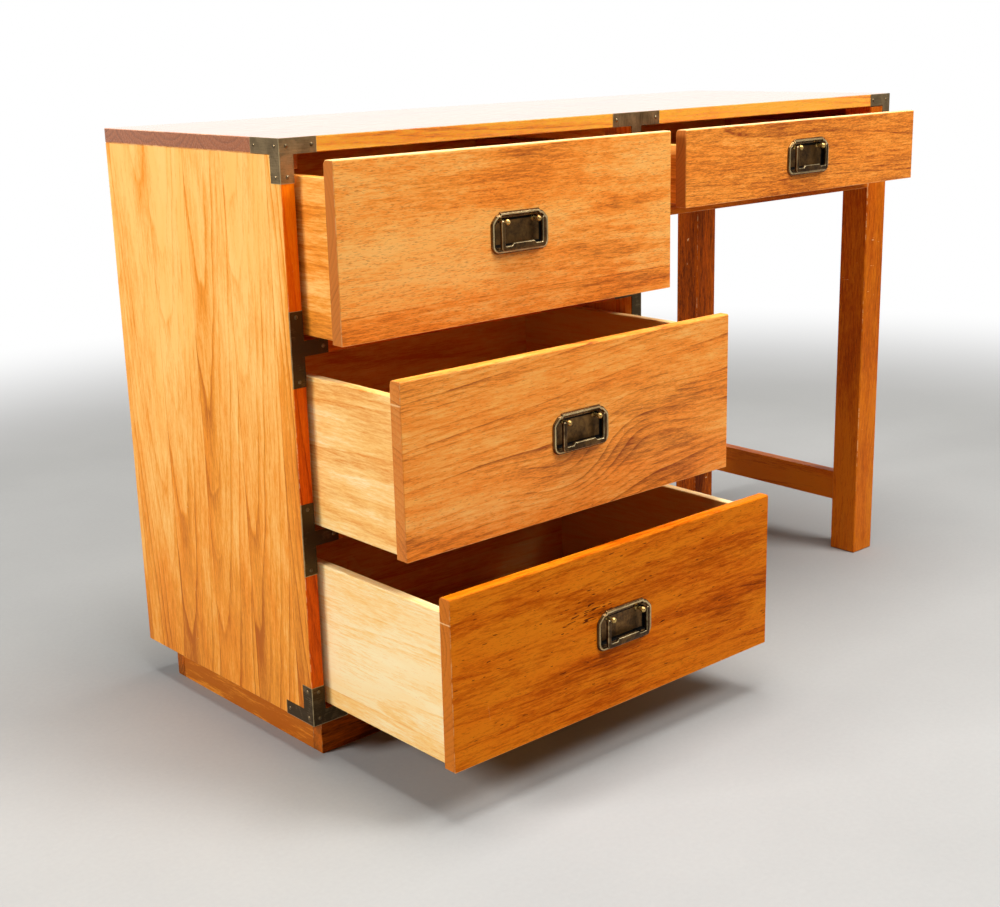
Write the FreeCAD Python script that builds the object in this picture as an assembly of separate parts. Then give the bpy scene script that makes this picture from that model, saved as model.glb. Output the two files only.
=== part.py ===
import FreeCAD
import Part

import os

# Campaign desk: a three-drawer pedestal on a plinth at the left, a knee space under one shallow drawer,
# and two square legs joined by a low stretcher at the right. Millimetres, +Z up, front towards -Y.
# The drawers stand open as the desk is stored. The origin is on the floor, at the middle of the whole
# desk's box with its drawers in that place.

Vec = FreeCAD.Vector
OUT_X = Vec(1, 0, 0)
OUT_Y = Vec(0, 1, 0)

# Case
pedestal_opening = 540.0  # clear width between the pedestal's panels
knee_opening = 518.0  # clear width between the pedestal and the legs
desk_depth = 400.0
drawer_opening = 210.0  # clear height of each pedestal drawer's opening
knee_drawer_opening = 107.0  # clear height over the knee rail
top_thick = 18.0
panel_thick = 18.0
bottom_thick = 18.0
rail_thick = 18.0
rail_depth = 50.0
back_thick = 6.0
back_rebate = 9.0  # how far the pedestal's back is let into each panel
arris = 0.8  # easing of the boards' edges

# Plinth
plinth_height = 48.0
plinth_thick = 18.0
plinth_inset_side = 20.0
plinth_inset_front = 15.0
plinth_inset_back = 37.0

# Right end
leg_width = 48.0
leg_depth = 48.0
leg_arris = 1.6
stretcher_thick = 18.0
stretcher_height = 48.0
stretcher_lift = 80.0  # floor to the stretcher's lower edge
apron_thick = 18.0
apron_setback = 3.0  # from the outer faces of the legs
tenon_length = 12.0
tenon_thick = 9.0
tenon_shoulder = 6.0  # above and below each tenon

# Cleats and runners
cleat_width = 24.0
cleat_height = 19.0
cleat_setback = 27.0  # behind the front of the case
runner_width = 24.0
runner_height = 24.0
running_gap = 0.4  # between a drawer side and its runner

# Drawers
front_thick = 18.0
front_inner_round = 6.0
front_outer_round = 2.5
side_gap = 1.5  # beside a drawer front
foot_gap = 2.0  # under a drawer front
head_gap = 4.0  # over a drawer front
drawer_side_thick = 12.0
drawer_back_thick = 12.0
drawer_bottom_thick = 5.0
side_inset = 3.0  # from the end of the front to the drawer side
side_lift = 4.0  # lower edge of a side above that of the front
side_drop = 20.0  # upper edge of a side below that of the front
side_housing = 6.0  # how far a side is let into the front
back_housing = 6.0  # how far the back is let into each side
bottom_groove = 5.0
bottom_lift = 8.0  # under the drawer bottom
drawer_depth = 384.0
knee_drawer_depth = 370.0
top_open = 72.0
middle_open = 173.0
bottom_open = 244.0
knee_open = 79.0

# Pulls: distances along Z are from the middle of the plate
plate_width = 92.0
plate_height = 50.0
plate_tab_width = 62.0  # raised middle of the plate's upper edge
plate_tab_rise = 2.8
plate_corner = 10.0
rim_width = 5.5
rim_proud = 3.0
rim_bevel = 1.0
pan_inset = 4.0  # plate's edge to the outside of the pan
pan_depth = 5.5  # back of the pan behind the drawer's face
pan_floor = 1.5
pocket_gap = 0.5
post_spacing = 50.4
post_rise = 13.0
post_stand = 7.0  # drawer's face to the bail's axis
head_radius = 3.8
neck_radius = 2.8
shank_width = 3.4
shank_gap = 0.2  # on each side of a shank in its hole
shank_end = 4.2  # past the back of the drawer front
pin_radius = 1.3
pin_clearance = 0.05
pin_seat = 1.6  # from the middle of the post's head to the inner end of the pin's hole
bail_arm_gap = 1.5  # between a post's head and the bail's arm
bail_arm_width = 5.0
bail_thick = 4.5
bail_drop = 34.0  # axis to the bail's lower edge
bail_bar_height = 6.0
bail_lip_width = 33.0
bail_lip_rise = 3.0
bail_eye = 2.5  # end of each arm above the axis
bail_bevel = 0.9
bail_corner = 4.0
bail_inner_corner = 1.5

# Brackets
bracket_thick = 1.5
bracket_let_in = 1.0
corner_leg = 50.0  # along the front, and up or down from the corner
corner_side_leg = 57.0  # along the side
corner_side_width = 19.0  # upright of the side leaf
corner_fold = 0.8
tee_bar = 89.0
tee_leg = 51.0

# Heights, from the floor
bottom_top = plinth_height + bottom_thick
rail_lower_z = bottom_top + drawer_opening
rail_upper_z = rail_lower_z + rail_thick + drawer_opening
top_under = rail_upper_z + rail_thick + drawer_opening
desk_height = top_under + top_thick
knee_rail_top = top_under - knee_drawer_opening
knee_rail_z = knee_rail_top - rail_thick

# Widths, from the middle of the desk
desk_width = 2 * panel_thick + pedestal_opening + knee_opening + leg_width
left = -desk_width / 2
right = desk_width / 2
panel_inner = left + panel_thick  # face of the left panel towards the drawers
divider_left = panel_inner + pedestal_opening
divider_right = divider_left + panel_thick
leg_left = right - leg_width

# Depths: the front of the case stands behind the box's middle by what the open drawers add in front
pull_reach = post_stand + head_radius
front_reach = max(top_open, middle_open, bottom_open, knee_open) + pull_reach
face = (front_reach - desk_depth) / 2
rear = face + desk_depth
back_front = rear - back_thick
runner_lift = foot_gap + side_lift - running_gap  # a runner's top over the rail's top


def box(x0, x1, y0, y1, z0, z1):
    return Part.makeBox(x1 - x0, y1 - y0, z1 - z0, Vec(x0, y0, z0))


def rod(radius, start, direction, length):
    return Part.makeCylinder(radius, length, start, direction)


def eased(solid, bevel):
    return solid.makeChamfer(bevel, solid.Edges)


def board(x0, x1, y0, y1, z0, z1):
    return eased(box(x0, x1, y0, y1, z0, z1), arris)


def cut_all(solid, tools):
    for tool in tools:
        solid = solid.cut(tool)
    return solid


def mirrored_x(shape, x):
    return shape.mirror(Vec(x, 0, 0), OUT_X)


# Brackets


def corner_bracket(corner_x, corner_z, leg_height, inward_z):
    """Folded corner for a left-hand corner: a front leaf and a side leaf, each an L.

    inward_z is -1 under an upper corner and 1 over a lower one."""
    proud = bracket_thick - bracket_let_in
    outer_x = corner_x - proud
    front_y = face - proud
    z_leg = corner_z + inward_z * leg_height
    z_end = corner_z + inward_z * corner_leg

    def slab(x0, x1, y0, y1, z):
        return box(x0, x1, y0, y1, min(corner_z, z), max(corner_z, z))

    shape = slab(outer_x, corner_x + corner_leg, front_y, front_y + bracket_thick, z_leg)
    for more in (
        slab(outer_x, corner_x + panel_thick, front_y, front_y + bracket_thick, z_end),
        slab(outer_x, outer_x + bracket_thick, front_y, face + corner_side_leg, z_leg),
        slab(outer_x, outer_x + bracket_thick, front_y, face + corner_side_width, z_end),
    ):
        shape = shape.fuse(more)
    shape = shape.removeSplitter()
    fold = [
        e
        for e in shape.Edges
        if all(abs(v.X - outer_x) < 1e-6 and abs(v.Y - front_y) < 1e-6 for v in e.Vertexes)
    ]
    return shape.makeFillet(corner_fold, fold)


def rail_tee(rail_z):
    """Tee over the joint of a rail and the left stile."""
    front_y = face - (bracket_thick - bracket_let_in)
    mid_z = rail_z + rail_thick / 2
    back_y = front_y + bracket_thick
    bar = box(left, left + panel_thick, front_y, back_y, mid_z - tee_bar / 2, mid_z + tee_bar / 2)
    leg = box(left, left + tee_leg, front_y, back_y, rail_z, rail_z + rail_thick)
    return bar.fuse(leg).removeSplitter()


def top_tee():
    """Tee over the joint of the inner panel and the desktop."""
    front_y = face - (bracket_thick - bracket_let_in)
    mid_x = (divider_left + divider_right) / 2
    back_y = front_y + bracket_thick
    bar = box(mid_x - tee_bar / 2, mid_x + tee_bar / 2, front_y, back_y, top_under, desk_height)
    leg = box(divider_left, divider_right, front_y, back_y, desk_height - tee_leg, desk_height)
    return bar.fuse(leg).removeSplitter()


def make_brackets():
    pedestal_middle = (left + divider_right) / 2
    upper_corner = corner_bracket(left, desk_height, top_thick, -1)
    lower_corner = corner_bracket(left, plinth_height, bottom_thick, 1)
    tees = [rail_tee(rail_lower_z), rail_tee(rail_upper_z)]
    tees += [mirrored_x(tee, pedestal_middle) for tee in tees]
    return {
        "corner_top_left": [upper_corner],
        "corner_top_right": [mirrored_x(upper_corner, 0)],
        "corner_bottom_left": [lower_corner],
        "corner_bottom_right": [mirrored_x(lower_corner, pedestal_middle)],
        "tee_top": [top_tee()],
        "rail_tees": tees,
    }


# Case


def let_in(solid, brackets):
    """The solid with seats for the brackets that reach into it."""
    return cut_all(solid, [b for b in brackets if b.BoundBox.intersect(solid.BoundBox)])


def make_case(brackets):
    back = box(
        panel_inner - back_rebate, divider_left + back_rebate, back_front, rear, plinth_height, top_under
    )
    panels = {
        "side_panel_left": board(left, panel_inner, face, rear, plinth_height, top_under),
        "side_panel_inner": board(divider_left, divider_right, face, rear, plinth_height, top_under),
    }
    nodes = {name: [let_in(panel.cut(back), brackets)] for name, panel in panels.items()}
    nodes["pedestal_back"] = [back]
    desktop = board(left, right, face, rear, top_under, desk_height)
    nodes["desktop"] = [let_in(desktop, brackets)]
    bottom = board(panel_inner, divider_left, face, back_front, plinth_height, bottom_top)
    nodes["bottom_panel"] = [let_in(bottom, brackets)]
    for name, z in (("rail_lower", rail_lower_z), ("rail_upper", rail_upper_z)):
        rail = board(panel_inner, divider_left, face, face + rail_depth, z, z + rail_thick)
        nodes[name] = [let_in(rail, brackets)]
    nodes["knee_rail"] = [board(divider_right, leg_left, face, face + leg_depth, knee_rail_z, knee_rail_top)]
    return nodes


def make_plinth():
    x0 = left + plinth_inset_side
    x1 = divider_right - plinth_inset_side
    y0 = face + plinth_inset_front
    y1 = rear - plinth_inset_back
    ends_y = (y0 + plinth_thick, y1 - plinth_thick)
    return {
        "plinth_front": [board(x0, x1, y0, ends_y[0], 0, plinth_height)],
        "plinth_back": [board(x0, x1, ends_y[1], y1, 0, plinth_height)],
        "plinth_left": [board(x0, x0 + plinth_thick, ends_y[0], ends_y[1], 0, plinth_height)],
        "plinth_right": [board(x1 - plinth_thick, x1, ends_y[0], ends_y[1], 0, plinth_height)],
    }


def tenoned_along_y(x0, x1, y0, y1, z0, z1):
    """Board between two legs, with a stub tenon into each."""
    mid = (x0 + x1) / 2
    tenon = box(
        mid - tenon_thick / 2,
        mid + tenon_thick / 2,
        y0 - tenon_length,
        y1 + tenon_length,
        z0 + tenon_shoulder,
        z1 - tenon_shoulder,
    )
    return board(x0, x1, y0, y1, z0, z1).fuse(tenon)


def make_right_end(brackets):
    front_leg = eased(box(leg_left, right, face, face + leg_depth, 0, top_under), leg_arris)
    back_leg = eased(box(leg_left, right, rear - leg_depth, rear, 0, top_under), leg_arris)
    y0 = face + leg_depth
    y1 = rear - leg_depth
    mid = (leg_left + right) / 2
    stretcher = tenoned_along_y(
        mid - stretcher_thick / 2,
        mid + stretcher_thick / 2,
        y0,
        y1,
        stretcher_lift,
        stretcher_lift + stretcher_height,
    )
    apron_x = right - apron_setback
    apron_side = tenoned_along_y(apron_x - apron_thick, apron_x, y0, y1, knee_rail_z, top_under)
    apron_y = rear - apron_setback
    apron_mid = apron_y - apron_thick / 2
    tenon = box(
        leg_left,
        leg_left + tenon_length,
        apron_mid - tenon_thick / 2,
        apron_mid + tenon_thick / 2,
        knee_rail_z + tenon_shoulder,
        top_under - tenon_shoulder,
    )
    apron_back = board(divider_right, leg_left, apron_y - apron_thick, apron_y, knee_rail_z, top_under)
    apron_back = apron_back.fuse(tenon)
    joints = [stretcher, apron_side, apron_back]
    return {
        "leg_front": [let_in(cut_all(front_leg, joints), brackets)],
        "leg_back": [cut_all(back_leg, joints)],
        "stretcher": [stretcher],
        "apron_side": [apron_side],
        "apron_back": [apron_back],
    }


def make_runners():
    """Cleats under the desktop and the runners that carry the drawers."""
    nodes = {}
    inner_sides = ((panel_inner, panel_inner + cleat_width), (divider_left - cleat_width, divider_left))
    nodes["top_cleats"] = [
        board(x0, x1, face + cleat_setback, back_front, top_under - cleat_height, top_under)
        for x0, x1 in inner_sides
    ]
    spans = ((panel_inner, panel_inner + runner_width), (divider_left - runner_width, divider_left))
    runners = []
    for rail_z in (rail_lower_z, rail_upper_z):
        z1 = rail_z + rail_thick + runner_lift
        runners += [board(x0, x1, face + rail_depth, back_front, z1 - runner_height, z1) for x0, x1 in spans]
    strip_y = face + rail_depth
    runners += [board(x0, x1, strip_y, back_front, bottom_top, bottom_top + runner_lift) for x0, x1 in spans]
    nodes["drawer_runners"] = runners
    z1 = knee_rail_top + runner_lift
    z0 = z1 - runner_height
    apron_back_y = rear - apron_setback - apron_thick
    apron_side_x = right - apron_setback - apron_thick
    nodes["knee_runners"] = [
        board(divider_right, divider_right + runner_width, face + leg_depth, apron_back_y, z0, z1),
        board(leg_left - runner_width, apron_side_x, face + leg_depth, rear - leg_depth, z0, z1),
    ]
    return nodes


# Pulls: each is made about the origin, with the drawer's face at y = 0, and then moved


def plate_outline(inset):
    """Outline of the pull's plate, drawn in by inset: round corners and a raised middle on the upper edge."""
    half = plate_width / 2 - inset
    top = plate_height / 2 - plate_tab_rise - inset
    bottom = -plate_height / 2 + inset
    tab = plate_tab_width / 2 - inset
    r = plate_corner - inset
    bend = r * 0.5 ** 0.5

    def corner(cx, cz, sx, sz):
        return Vec(cx + sx * bend, 0, cz + sz * bend)

    def pt(x, z):
        return Vec(x, 0, z)

    half_side = [
        Part.Arc(pt(half - r, bottom), corner(half - r, bottom + r, 1, -1), pt(half, bottom + r)),
        Part.LineSegment(pt(half, bottom + r), pt(half, top - r)),
        Part.Arc(pt(half, top - r), corner(half - r, top - r, 1, 1), pt(half - r, top)),
        Part.LineSegment(pt(half - r, top), pt(tab, top)),
        Part.LineSegment(pt(tab, top), pt(tab, top + plate_tab_rise)),
    ]
    edges = [e.toShape() for e in half_side]
    edges += [e.mirror(Vec(0, 0, 0), OUT_X) for e in edges]
    edges.append(Part.makeLine(pt(-tab, top + plate_tab_rise), pt(tab, top + plate_tab_rise)))
    edges.append(Part.makeLine(pt(-(half - r), bottom), pt(half - r, bottom)))
    return Part.Face(Part.Wire(Part.__sortEdges__(edges)))


def plate_slab(inset, y0, y1):
    slab = plate_outline(inset)
    slab.translate(Vec(0, y0, 0))
    return slab.extrude(Vec(0, y1 - y0, 0))


def post_shank(side, gap, y0, y1):
    """A post's shank, with gap all round it: square, so that the post can't turn away from its pin."""
    x = side * post_spacing / 2
    half = shank_width / 2 + gap
    return box(x - half, x + half, y0, y1, post_rise - half, post_rise + half)


def shank_holes(y0, y1):
    return [post_shank(side, shank_gap, y0, y1) for side in (-1, 1)]


def pan_block(gap, y0, y1):
    """Outside of the plate's pan, with gap all round it."""
    half = plate_width / 2 - pan_inset + gap
    high = plate_height / 2 - pan_inset + gap
    return box(-half, half, y0, y1, -high, high)


def pull_pocket():
    """What the pull takes out of a drawer front: the pan's pocket and the holes for the two shanks."""
    pocket = pan_block(pocket_gap, -rim_proud, pan_depth + pocket_gap)
    return [pocket] + shank_holes(-rim_proud, front_thick + rim_proud)


def pull_plate():
    rim = plate_slab(0, -rim_proud, 0)
    crown = [e for e in rim.Edges if all(abs(v.Y + rim_proud) < 1e-6 for v in e.Vertexes)]
    rim = rim.makeChamfer(rim_bevel, crown)
    hollow = plate_slab(rim_width, -2 * rim_proud, pan_depth - pan_floor)
    plate = rim.fuse(pan_block(0, 0, pan_depth)).cut(hollow)
    return cut_all(plate, shank_holes(0, 2 * pan_depth))


def pull_post(side):
    """Turned post: a head with a blind hole for the bail's pin, a neck, and a shank through the front."""
    x = side * post_spacing / 2
    floor_y = pan_depth - pan_floor
    head_back = -post_stand + head_radius
    half_profile = [
        (0, -post_stand - head_radius),
        (head_radius, -post_stand - head_radius),
        (head_radius, head_back),
        (neck_radius, head_back),
        (neck_radius, floor_y),
        (0, floor_y),
    ]
    corners = [Vec(x + r, y, post_rise) for r, y in half_profile + half_profile[:1]]
    post = Part.Face(Part.makePolygon(corners)).revolve(Vec(x, 0, post_rise), OUT_Y, 360)
    post = post.fuse(post_shank(side, 0, head_back, front_thick + shank_end))
    seat_x = x - side * pin_seat
    bore = rod(pin_radius + pin_clearance, Vec(seat_x, -post_stand, post_rise), OUT_X * side, 2 * head_radius)
    return post.cut(bore)


def pull_bail():
    """Cast bail: two arms with pins turned in towards the posts, and a bar with a raised lip."""
    inner = post_spacing / 2 + head_radius + bail_arm_gap
    outer = inner + bail_arm_width
    lip = bail_lip_width / 2
    y0 = -post_stand - bail_thick / 2
    top = post_rise + bail_eye
    low = post_rise - bail_drop
    bar_top = low + bail_bar_height
    lip_top = bar_top + bail_lip_rise
    half_loop = [(outer, low), (outer, top), (inner, top), (inner, bar_top)]
    loop = half_loop + [(-x, z) for x, z in half_loop[::-1]]
    corners = [Vec(x, y0, z) for x, z in loop + loop[:1]]
    bail = Part.Face(Part.makePolygon(corners)).extrude(OUT_Y * bail_thick)

    def turns(x, z):
        """The edges along Y at x, either side, and z."""
        return [
            e
            for e in bail.Edges
            if all(abs(abs(v.X) - x) < 1e-6 and abs(v.Z - z) < 1e-6 for v in e.Vertexes)
            and abs(e.Vertexes[0].Y - e.Vertexes[-1].Y) > 1e-6
        ]

    bail = bail.makeFillet(bail_corner, turns(outer, low))
    bail = bail.makeFillet(bail_inner_corner, turns(inner, bar_top))
    worn = [e for e in bail.Edges if all(abs(v.Y - y0) < 1e-6 for v in e.Vertexes)]
    bail = bail.makeChamfer(bail_bevel, worn)
    lip_y = y0 + bail_bevel
    foot = lip + bail_lip_rise
    lip_loop = [(-foot, bar_top), (-lip, lip_top), (lip, lip_top), (foot, bar_top)]
    lip_corners = [Vec(x, lip_y, z) for x, z in lip_loop + lip_loop[:1]]
    bail = bail.fuse(Part.Face(Part.makePolygon(lip_corners)).extrude(OUT_Y * (bail_thick - bail_bevel)))
    for side in (-1, 1):
        pin_end = post_spacing / 2 - pin_seat + pin_clearance
        pin = rod(pin_radius, Vec(side * pin_end, -post_stand, post_rise), OUT_X * side, inner - pin_end)
        bail = bail.fuse(pin)
    return bail.removeSplitter()


# Drawers


def front_blank(x0, x1, z0, z1):
    """Drawer front with its face at y = 0: the upper edge is rounded, more at the back than at the face."""
    blank = box(x0, x1, 0, front_thick, z0, z1)

    def upper(y):
        return [
            e for e in blank.Edges if all(abs(v.Y - y) < 1e-6 and abs(v.Z - z1) < 1e-6 for v in e.Vertexes)
        ]

    blank = blank.makeFillet(front_inner_round, upper(front_thick))
    blank = blank.makeFillet(front_outer_round, upper(0))
    ends = [
        e
        for e in blank.Edges
        if all(abs(v.X - x0) < 1e-6 for v in e.Vertexes) or all(abs(v.X - x1) < 1e-6 for v in e.Vertexes)
    ]
    return blank.makeChamfer(arris, ends)


def make_drawer(name, x_span, z_span, depth, opened):
    """All pieces of one drawer in the opening between x_span and z_span, pulled out by opened."""
    x0, x1 = x_span[0] + side_gap, x_span[1] - side_gap
    z0, z1 = z_span[0] + foot_gap, z_span[1] - head_gap
    side_z0, side_z1 = z0 + side_lift, z1 - side_drop
    wall_left = x0 + side_inset + drawer_side_thick
    wall_right = x1 - side_inset - drawer_side_thick
    ply_z = side_z0 + bottom_lift
    ply_top = ply_z + drawer_bottom_thick
    back_y = depth - drawer_back_thick
    ply = box(
        wall_left - bottom_groove,
        wall_right + bottom_groove,
        front_thick - bottom_groove,
        depth,
        ply_z,
        ply_top,
    )
    back = board(wall_left - back_housing, wall_right + back_housing, back_y, depth, ply_top, side_z1)
    back_seat = box(wall_left - back_housing, wall_right + back_housing, back_y, depth, ply_top, side_z1)
    side_y = front_thick - side_housing
    sides = [
        board(x0 + side_inset, wall_left, side_y, depth, side_z0, side_z1),
        board(wall_right, x1 - side_inset, side_y, depth, side_z0, side_z1),
    ]
    middle = Vec((x0 + x1) / 2, 0, (z0 + z1) / 2)

    def at_middle(shape):
        return shape.translated(middle)

    front = cut_all(front_blank(x0, x1, z0, z1), sides + [ply])
    front = cut_all(front, [at_middle(tool) for tool in pull_pocket()])
    left_side, right_side = (cut_all(side, [back_seat, ply]) for side in sides)
    pieces = {
        "front": [front],
        "side_left": [left_side],
        "side_right": [right_side],
        "back": [back],
        "bottom": [ply],
        "pull_plate": [at_middle(pull_plate())],
        "pull_posts": [at_middle(pull_post(side)) for side in (-1, 1)],
        "bail": [at_middle(pull_bail())],
    }
    place = Vec(0, face - opened, 0)
    return {name + "_" + key: [s.translated(place) for s in solids] for key, solids in pieces.items()}


def make_drawers():
    pedestal = (panel_inner, divider_left)
    levels = (
        ("bottom_drawer", bottom_top, bottom_open),
        ("middle_drawer", rail_lower_z + rail_thick, middle_open),
        ("top_drawer", rail_upper_z + rail_thick, top_open),
    )
    nodes = {}
    for name, z, opened in levels:
        nodes.update(make_drawer(name, pedestal, (z, z + drawer_opening), drawer_depth, opened))
    knee = (divider_right, leg_left)
    nodes.update(make_drawer("knee_drawer", knee, (knee_rail_top, top_under), knee_drawer_depth, knee_open))
    return nodes


def make_desk():
    nodes = make_brackets()
    brackets = [solid for solids in nodes.values() for solid in solids]
    nodes.update(make_case(brackets))
    nodes.update(make_plinth())
    nodes.update(make_right_end(brackets))
    nodes.update(make_runners())
    nodes.update(make_drawers())
    return nodes


os.makedirs("parts", exist_ok=True)
for node_name, solids in make_desk().items():
    shape = solids[0] if len(solids) == 1 else Part.makeCompound(solids)
    shape.exportStep("parts/" + node_name + ".step")
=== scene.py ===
"""Campaign desk: finishes, nails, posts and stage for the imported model."""

import dataclasses
import math

import bmesh
import bpy
from mathutils import Matrix, Vector


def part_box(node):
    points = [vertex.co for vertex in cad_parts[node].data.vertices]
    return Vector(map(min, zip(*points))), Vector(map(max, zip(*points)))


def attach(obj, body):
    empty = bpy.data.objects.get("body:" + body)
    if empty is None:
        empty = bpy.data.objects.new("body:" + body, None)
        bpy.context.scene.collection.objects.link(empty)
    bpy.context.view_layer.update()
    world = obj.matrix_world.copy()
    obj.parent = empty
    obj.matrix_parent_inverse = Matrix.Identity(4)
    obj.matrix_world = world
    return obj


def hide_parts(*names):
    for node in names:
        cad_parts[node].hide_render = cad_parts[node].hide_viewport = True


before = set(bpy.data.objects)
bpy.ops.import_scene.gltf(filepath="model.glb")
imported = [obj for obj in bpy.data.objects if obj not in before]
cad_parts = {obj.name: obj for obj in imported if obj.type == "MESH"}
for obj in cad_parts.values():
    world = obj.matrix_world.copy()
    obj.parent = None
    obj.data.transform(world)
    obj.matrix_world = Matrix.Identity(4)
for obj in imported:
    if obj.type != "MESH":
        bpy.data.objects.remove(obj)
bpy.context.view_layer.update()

bl_info = {
    "name": "Campaign Desk",
    "version": (1, 0, 0),
    "blender": (4, 5, 0),
    "location": "View3D > Sidebar > Desk",
    "description": "Stained pine, worn brass, nails and turned posts for a campaign desk",
    "category": "Object",
}

DRAWERS = ("top_drawer", "middle_drawer", "bottom_drawer", "knee_drawer")
MM = 0.001
FRONT, UP = (0, -1, 0), (0, 0, 1)
SMOOTH = math.radians(50)


def linear(*screen):
    """A colour given as 0 to 255 on screen, as linear light."""
    shares = (c / 255 for c in screen)
    return tuple(c / 12.92 if c <= 0.04045 else ((c + 0.055) / 1.055) ** 2.4 for c in shares)


def colour_property(name, description, *screen):
    return bpy.props.FloatVectorProperty(
        name=name, description=description, default=linear(*screen), size=3, min=0, max=1, subtype="COLOR"
    )


def length_property(name, description, default):
    return bpy.props.FloatProperty(name=name, description=description, default=default, unit="LENGTH")


# Settings


class DESK_PG_wood(bpy.types.PropertyGroup):
    """Colours of the stained and bare wood."""

    case_pale: colour_property("Case pale", "Early wood of the case", 255, 200, 116)
    case_main: colour_property("Case main", "Main colour of the case", 240, 152, 50)
    case_dark: colour_property("Case dark", "Late wood and streaks of the case", 184, 98, 26)
    front_pale: colour_property("Front pale", "Early wood of the drawer fronts", 255, 188, 100)
    front_main: colour_property("Front main", "Main colour of the drawer fronts", 248, 150, 52)
    front_dark: colour_property("Front dark", "Late wood and streaks of the drawer fronts", 150, 68, 18)
    deep_pale: colour_property("Deep pale", "Early wood of the darkest boards", 222, 122, 16)
    deep_main: colour_property("Deep main", "Main colour of the darkest boards", 190, 86, 0)
    deep_dark: colour_property("Deep dark", "Late wood and streaks of the darkest boards", 96, 38, 0)
    bare_pale: colour_property("Bare pale", "Early wood of the drawer boxes", 255, 230, 178)
    bare_main: colour_property("Bare main", "Main colour of the drawer boxes", 252, 202, 122)
    bare_dark: colour_property("Bare dark", "Streaks of the drawer boxes", 228, 138, 46)
    end_brown: colour_property("End grain", "Stain that has soaked into end grain", 170, 100, 60)
    # Painted shade: this tint darkens the inner faces of the drawer boxes.
    inside: colour_property("Inside", "Painted shade on the inner faces of the drawers", 210, 190, 152)
    # Partly painted shade: the redder front strips are also darkened for the shade they sit in.
    lipping_and_shade: colour_property("Lipping", "Tint of the redder strips on the front edges, darkened as painted shade", 255, 174, 30)
    # Worn bare wood, also used as a painted highlight on the upward faces of the upper fronts.
    scuff_and_highlight: colour_property("Scuff", "Bare wood where an edge has rubbed through", 255, 214, 150)
    gold: colour_property("Gold", "Tint of the desktop's front edge", 255, 250, 128)
    # Painted shade: this tint darkens the desktop's upper face.
    painted_top_shade: colour_property("Top shade", "Painted shade on the desktop's upper face", 212, 182, 186)
    end_orange: colour_property("Front ends", "Stain on the ends of the drawer fronts", 196, 112, 42)


class DESK_PG_brass(bpy.types.PropertyGroup):
    """Colours and sizes of the brass."""

    tarnish: colour_property("Tarnish", "Dark brown film on the brass", 72, 56, 32)
    body: colour_property("Brass", "Dull brass under the hand", 168, 142, 102)
    # Worn brass, also used as a painted highlight on the pulls' crests and bail edges.
    rubbed_and_highlit: colour_property("Rubbed", "Bright brass on worn edges, also a painted highlight on the pulls", 226, 202, 150)
    bronze: colour_property("Bronze", "Brown lacquer on the pulls", 150, 108, 56)
    umber: colour_property("Umber", "Darkest lacquer on the pulls", 60, 40, 18)
    # Painted shade: near black in the corners of the pulls' pans.
    corner_shade_black: colour_property("Black", "Painted shade in the corners of the pulls", 10, 7, 4)
    ball: colour_property("Ball", "Polished balls of the posts", 232, 196, 116)
    nail_radius: length_property("Nail head radius", "Radius of a bracket nail's head", 2.5 * MM)
    nail_rise: length_property("Nail head rise", "Height of a bracket nail's head", 1.0 * MM)
    ball_radius: length_property("Ball radius", "Radius of the ball on each pull post", 3.7 * MM)


class DESK_PG_stage(bpy.types.PropertyGroup):
    """Floor and camera."""

    floor: colour_property("Floor", "Plain floor", 164, 163, 160)
    lens: bpy.props.FloatProperty(name="Lens", description="Focal length", default=55.05, unit="CAMERA")
    eye: bpy.props.FloatVectorProperty(
        name="Eye", description="Where the camera stands", default=(-1.5189, -1.5090, 0.8545), subtype="XYZ"
    )
    turn: bpy.props.FloatVectorProperty(
        name="Turn",
        description="Pan, tilt and roll of the camera",
        default=(math.radians(-41.2338), math.radians(74.6522), math.radians(-1.4351)),
        subtype="EULER",
    )


class DESK_PG_settings(bpy.types.PropertyGroup):
    """All that can be set on the desk."""

    wood: bpy.props.PointerProperty(type=DESK_PG_wood)
    brass: bpy.props.PointerProperty(type=DESK_PG_brass)
    stage: bpy.props.PointerProperty(type=DESK_PG_stage)


# Shader wiring


class Signal:
    """What one socket puts out; sums and products of signals add Math nodes to its tree."""

    def __init__(self, wires, socket):
        self.wires = wires
        self.socket = socket

    def __add__(self, other):
        return self.wires.math("ADD", self, other)

    def __sub__(self, other):
        return self.wires.math("SUBTRACT", self, other)

    def __rsub__(self, other):
        return self.wires.math("SUBTRACT", other, self)

    def __mul__(self, other):
        return self.wires.math("MULTIPLY", self, other)

    def __truediv__(self, other):
        return self.wires.math("DIVIDE", self, other)

    def __abs__(self):
        return self.wires.math("ABSOLUTE", self)


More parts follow.
